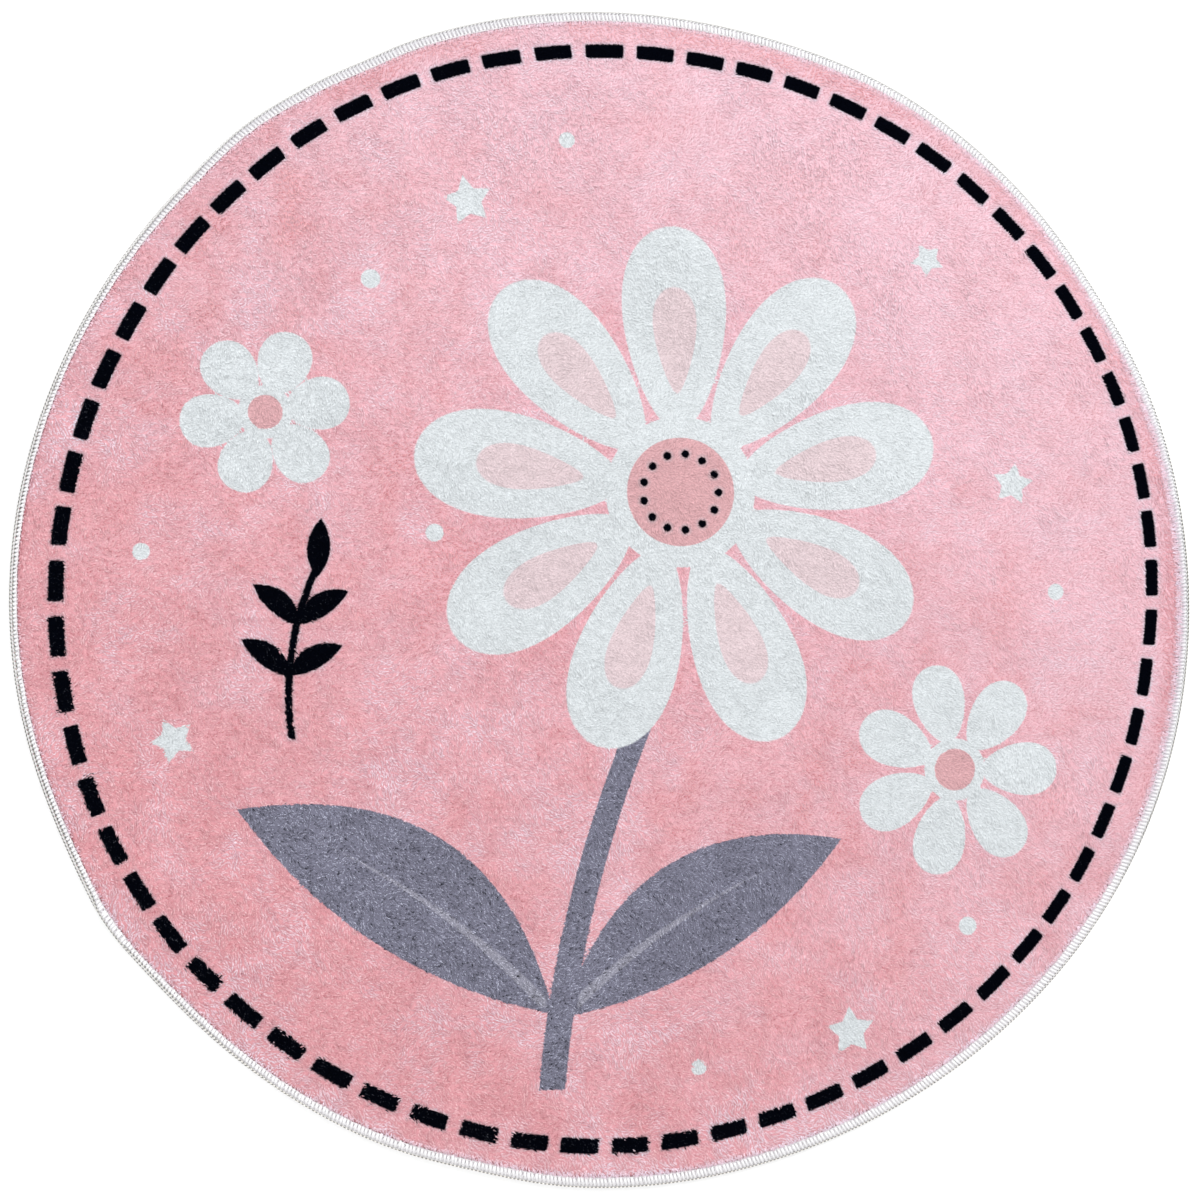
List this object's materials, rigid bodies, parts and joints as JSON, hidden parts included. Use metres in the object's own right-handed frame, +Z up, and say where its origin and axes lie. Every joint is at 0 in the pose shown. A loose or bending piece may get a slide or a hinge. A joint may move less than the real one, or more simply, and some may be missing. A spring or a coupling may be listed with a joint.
{
  "type": "round plush kids rug with overlocked edge",
  "caption": "Round short-pile plush rug for a child's room, lying flat, with a dashed printed border and a white overlocked thread edge.",
  "frame": {"origin": "centre of the underside, at floor level, in the middle of the rug's bounding box", "axes": "+Z up, through the thickness; +X to the right and +Y to the top of the rug as the picture shows it"},
  "size_m": [1.0032, 0.992, 0.0078],
  "materials": {
    "printed_plush": "short brushed pile, matt with soft sheen",
    "edging_thread": "textured polyester thread, matt"
  },
  "bodies": {
    "root": {"rug": "printed_plush", "overlock_edging": "edging_thread"}
  },
  "joints": []
}
